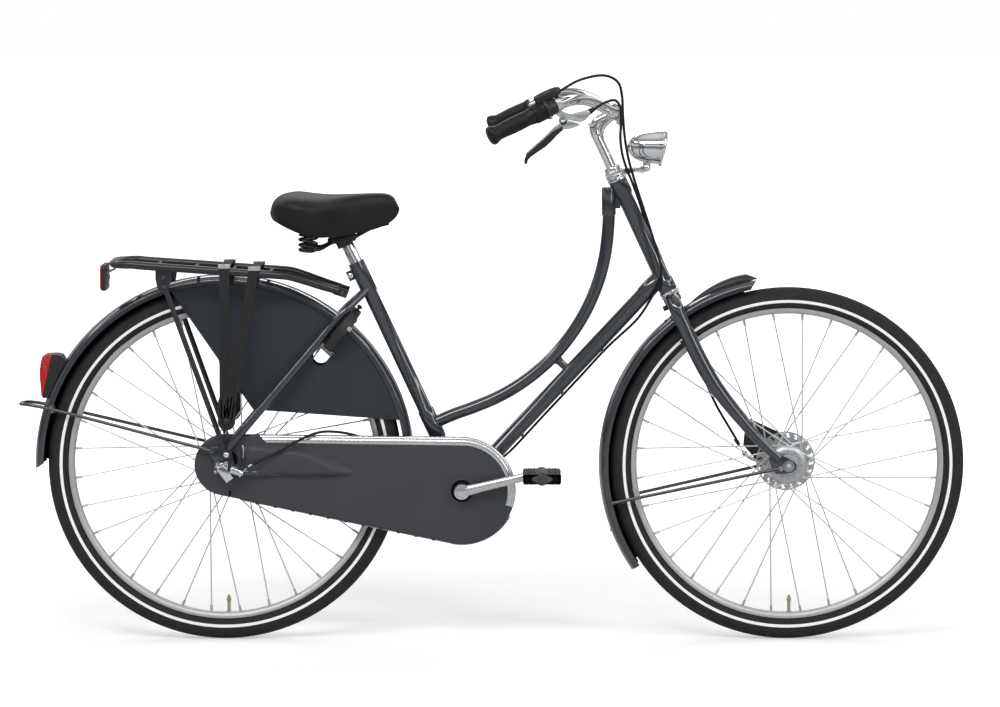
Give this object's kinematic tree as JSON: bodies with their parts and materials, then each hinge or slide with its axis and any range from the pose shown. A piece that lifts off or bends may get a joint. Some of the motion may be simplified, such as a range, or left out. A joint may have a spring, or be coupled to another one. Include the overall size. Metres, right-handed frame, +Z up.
{
  "type": "city bicycle",
  "caption": "Step-through city bicycle with a low curved top tube, closed chain case, coat guards, rear carrier, ring lock and roller brake at the front.",
  "frame": {"origin": "on the ground under the middle of the bike's length, in its mid-plane", "axes": "+X forward, +Y to the rider's left, +Z up"},
  "size_m": [1.9095, 0.6288, 1.1489],
  "materials": {
    "paint": "gloss dark slate enamel",
    "satin_black": "satin powder coat",
    "matt_panel": "matt moulded panel",
    "black_rubber": "matt",
    "strap_rubber": "matt",
    "tyre": "matt with pale side stripe",
    "black_plastic": "satin",
    "reflector": "gloss, prismatic",
    "lens": "gloss",
    "alloy": "satin",
    "chrome": "mirror bright",
    "steel": "satin",
    "leather": "matt grain"
  },
  "bodies": {
    "frame": {"head_tube": "paint", "down_tube": "paint", "curved_top_tube": "paint", "seat_tube": "paint", "chain_stays": "paint", "seat_stays": "paint", "rear_mudguard": "satin_black", "rear_mudguard_stay": "satin_black", "coat_guard_right": "matt_panel", "coat_guard_left": "matt_panel", "rear_carrier": "satin_black", "rear_reflector": "reflector", "tail_light": "lens", "luggage_straps": "strap_rubber", "lock_body": "black_plastic", "chain_case_outer": "satin_black", "chain_case_inner": "satin_black", "chain": "steel", "rear_axle": "steel", "bell_crank_unit": "steel", "shift_cable": "black_rubber"},
    "lock_bolt": {"lock_bolt": "steel"},
    "rear_wheel": {"rear_tyre": "tyre", "rear_rim": "alloy", "rear_spokes_right": "steel", "rear_spokes_left": "steel", "rear_hub": "alloy"},
    "rear_sprocket": {"rear_sprocket": "steel"},
    "crank": {"crank_axle": "steel", "crank_right": "alloy", "chainwheel": "steel", "crank_left": "alloy"},
    "pedal_right": {"pedal_right": "black_plastic"},
    "pedal_left": {"pedal_left": "black_plastic"},
    "seat": {"seat_post": "alloy", "saddle_frame": "steel", "saddle_spring_right": "chrome", "saddle_spring_left": "chrome", "saddle_cover": "leather"},
    "steering": {"fork": "paint", "headset_lamp_bracket": "chrome", "stem": "alloy", "handlebar": "alloy", "grip_right": "black_rubber", "grip_left": "black_rubber", "shifter_housing": "black_plastic", "brake_lever_bracket": "alloy", "front_mudguard": "satin_black", "front_mudguard_stay": "satin_black", "front_axle": "steel", "front_brake_plate": "alloy", "brake_cable": "black_rubber"},
    "twist_shifter": {"twist_shifter": "black_rubber"},
    "brake_lever": {"brake_lever": "alloy"},
    "headlamp": {"headlamp": "chrome"},
    "front_wheel": {"front_tyre": "tyre", "front_rim": "alloy", "front_spokes_right": "steel", "front_spokes_left": "steel", "front_hub": "alloy"}
  },
  "joints": [
    {"name": "steering_hinge", "type": "hinge", "parent": "frame", "child": "steering", "pos_m": [0.3579, 0, 0.704], "axis": [-0.4213, 0, 0.9069], "range_deg": [-60, 60], "deforming": ["shift_cable"]},
    {"name": "rear_wheel_spin", "type": "hinge", "parent": "frame", "child": "rear_wheel", "pos_m": [-0.5411, 0, 0.358], "axis": [0, 1, 0], "continuous": true},
    {"name": "crank_spin", "type": "hinge", "parent": "frame", "child": "crank", "pos_m": [-0.0611, 0, 0.308], "axis": [0, 1, 0], "continuous": true},
    {"name": "sprocket_spin", "type": "hinge", "parent": "frame", "child": "rear_sprocket", "pos_m": [-0.5411, 0, 0.358], "axis": [0, 1, 0], "continuous": true},
    {"name": "pedal_right_spin", "type": "hinge", "parent": "crank", "child": "pedal_right", "pos_m": [0.09941, 0, 0.34624], "axis": [0, 1, 0], "continuous": true},
    {"name": "pedal_left_spin", "type": "hinge", "parent": "crank", "child": "pedal_left", "pos_m": [-0.22161, 0, 0.26976], "axis": [0, 1, 0], "continuous": true},
    {"name": "front_wheel_spin", "type": "hinge", "parent": "steering", "child": "front_wheel", "pos_m": [0.5969, 0, 0.358], "axis": [0, 1, 0], "continuous": true},
    {"name": "seat_height", "type": "slide", "parent": "frame", "child": "seat", "axis": [-0.4233, 0, 0.906], "range_m": [-0.025, 0.09]},
    {"name": "lock_bolt_turn", "type": "hinge", "parent": "frame", "child": "lock_bolt", "pos_m": [-0.3237, 0, 0.6323], "axis": [0.7839, 0, -0.6209], "range_deg": [0, 118]},
    {"name": "headlamp_tilt", "type": "hinge", "parent": "steering", "child": "headlamp", "pos_m": [0.3109, 0, 0.957], "axis": [0, 1, 0], "range_deg": [-20, 20]},
    {"name": "brake_lever_pull", "type": "hinge", "parent": "steering", "child": "brake_lever", "pos_m": [0.1389, -0.252, 1.06], "axis": [0, 1, 0], "range_deg": [0, 20], "stiffness_Nm_per_rad": 1.5, "springref_deg": -14.32},
    {"name": "shifter_twist", "type": "hinge", "parent": "steering", "child": "twist_shifter", "pos_m": [0.09099, -0.26947, 1.07633], "axis": [0.8733, 0.2544, 0.4155], "range_deg": [0, 60]}
  ],
  "couplings": [
    {"joint": "sprocket_spin", "follows": "crank_spin", "ratio": 2}
  ]
}
